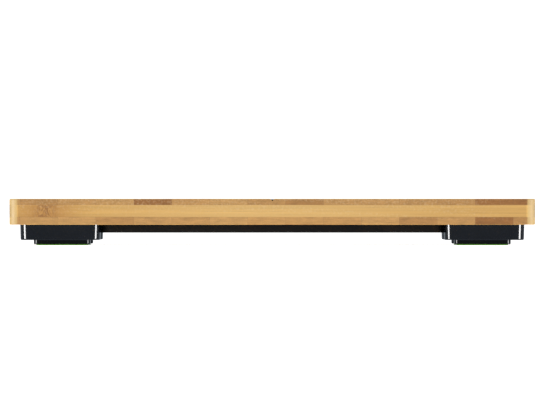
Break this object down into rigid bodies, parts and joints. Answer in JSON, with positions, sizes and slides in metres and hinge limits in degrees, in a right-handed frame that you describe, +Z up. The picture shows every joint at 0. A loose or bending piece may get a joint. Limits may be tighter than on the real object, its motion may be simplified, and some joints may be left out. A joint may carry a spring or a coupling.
{
  "type": "kitchen scale",
  "caption": "Slim digital kitchen scale: laminated bamboo platform on load-cell feet, with a thin base tray, display and press buttons.",
  "frame": {"origin": "centre of the platform's plan, at the level of the worktop under the feet", "axes": "+X along the width to the right, +Y to the rear, +Z up; the display is near the front edge at -Y"},
  "size_m": [0.25, 0.18, 0.0221],
  "materials": {
    "bamboo": "clear satin lacquer over laminated bamboo",
    "fascia_black": "gloss",
    "smoked_lens": "polished, lightly smoked acrylic",
    "lcd_glass": "reflective liquid-crystal panel",
    "silicone_strip": "matte",
    "circuit_board": "solder mask",
    "epoxy_black": "cast epoxy",
    "key_silver": "satin silver paint",
    "switch_black": "moulded",
    "switch_plunger": "moulded",
    "zinc_screw": "zinc plated",
    "tray_black": "fine moulded texture",
    "label_paper": "printed film, blank",
    "contact_plated": "nickel plated",
    "cell_steel": "stainless can",
    "lead_sleeve": "sleeved wires",
    "gloss_black": "high gloss",
    "gauge_steel": "stamped steel",
    "green_rubber": "matte anti-slip"
  },
  "bodies": {
    "frame": {"bamboo_platform": "bamboo", "control_fascia": "fascia_black", "display_lens": "smoked_lens", "lcd_panel": "lcd_glass", "lcd_contact_strip": "silicone_strip", "main_board": "circuit_board", "controller_chip": "epoxy_black", "tact_switch_tare": "switch_black", "tact_switch_unit": "switch_black", "fascia_screw_1": "zinc_screw", "fascia_screw_2": "zinc_screw", "base_tray": "tray_black", "tray_screw_1": "zinc_screw", "tray_screw_2": "zinc_screw", "tray_screw_3": "zinc_screw", "tray_screw_4": "zinc_screw", "rating_label": "label_paper", "battery_holder": "switch_black", "battery_contact_positive": "contact_plated", "battery_contact_negative": "contact_plated", "coin_cell": "cell_steel", "battery_lead": "lead_sleeve", "cell_lead_front_left": "lead_sleeve", "cell_lead_front_right": "lead_sleeve", "cell_lead_rear_left": "lead_sleeve", "cell_lead_rear_right": "lead_sleeve", "foot_housing_front_left": "gloss_black", "cell_carrier_front_left": "tray_black", "load_cell_front_left": "gauge_steel", "housing_screw_front_left_1": "zinc_screw", "housing_screw_front_left_2": "zinc_screw", "foot_housing_front_right": "gloss_black", "cell_carrier_front_right": "tray_black", "load_cell_front_right": "gauge_steel", "housing_screw_front_right_1": "zinc_screw", "housing_screw_front_right_2": "zinc_screw", "foot_housing_rear_left": "gloss_black", "cell_carrier_rear_left": "tray_black", "load_cell_rear_left": "gauge_steel", "housing_screw_rear_left_1": "zinc_screw", "housing_screw_rear_left_2": "zinc_screw", "foot_housing_rear_right": "gloss_black", "cell_carrier_rear_right": "tray_black", "load_cell_rear_right": "gauge_steel", "housing_screw_rear_right_1": "zinc_screw", "housing_screw_rear_right_2": "zinc_screw"},
    "button_tare_body": {"button_tare": "key_silver", "tact_plunger_tare": "switch_plunger"},
    "button_unit_body": {"button_unit": "key_silver", "tact_plunger_unit": "switch_plunger"},
    "battery_door_body": {"battery_door": "tray_black"},
    "foot_front_left_body": {"foot_shoe_front_left": "gloss_black", "foot_pad_front_left": "green_rubber"},
    "foot_front_right_body": {"foot_shoe_front_right": "gloss_black", "foot_pad_front_right": "green_rubber"},
    "foot_rear_left_body": {"foot_shoe_rear_left": "gloss_black", "foot_pad_rear_left": "green_rubber"},
    "foot_rear_right_body": {"foot_shoe_rear_right": "gloss_black", "foot_pad_rear_right": "green_rubber"}
  },
  "joints": [
    {"name": "press_tare", "type": "slide", "parent": "frame", "child": "button_tare_body", "axis": [0, 0, -1], "range_m": [0, 0.0004], "stiffness_N_per_m": 500, "springref_m": -0.00005},
    {"name": "press_unit", "type": "slide", "parent": "frame", "child": "button_unit_body", "axis": [0, 0, -1], "range_m": [0, 0.0004], "stiffness_N_per_m": 500, "springref_m": -0.00005},
    {"name": "battery_door_slide", "type": "slide", "parent": "frame", "child": "battery_door_body", "axis": [0, 1, 0], "range_m": [0, 0.036]},
    {"name": "foot_press_front_left", "type": "slide", "parent": "frame", "child": "foot_front_left_body", "axis": [0, 0, 1], "range_m": [0, 0.00025], "stiffness_N_per_m": 3000, "springref_m": -0.0004},
    {"name": "foot_press_front_right", "type": "slide", "parent": "frame", "child": "foot_front_right_body", "axis": [0, 0, 1], "range_m": [0, 0.00025], "stiffness_N_per_m": 3000, "springref_m": -0.0004},
    {"name": "foot_press_rear_left", "type": "slide", "parent": "frame", "child": "foot_rear_left_body", "axis": [0, 0, 1], "range_m": [0, 0.00025], "stiffness_N_per_m": 3000, "springref_m": -0.0004},
    {"name": "foot_press_rear_right", "type": "slide", "parent": "frame", "child": "foot_rear_right_body", "axis": [0, 0, 1], "range_m": [0, 0.00025], "stiffness_N_per_m": 3000, "springref_m": -0.0004}
  ]
}
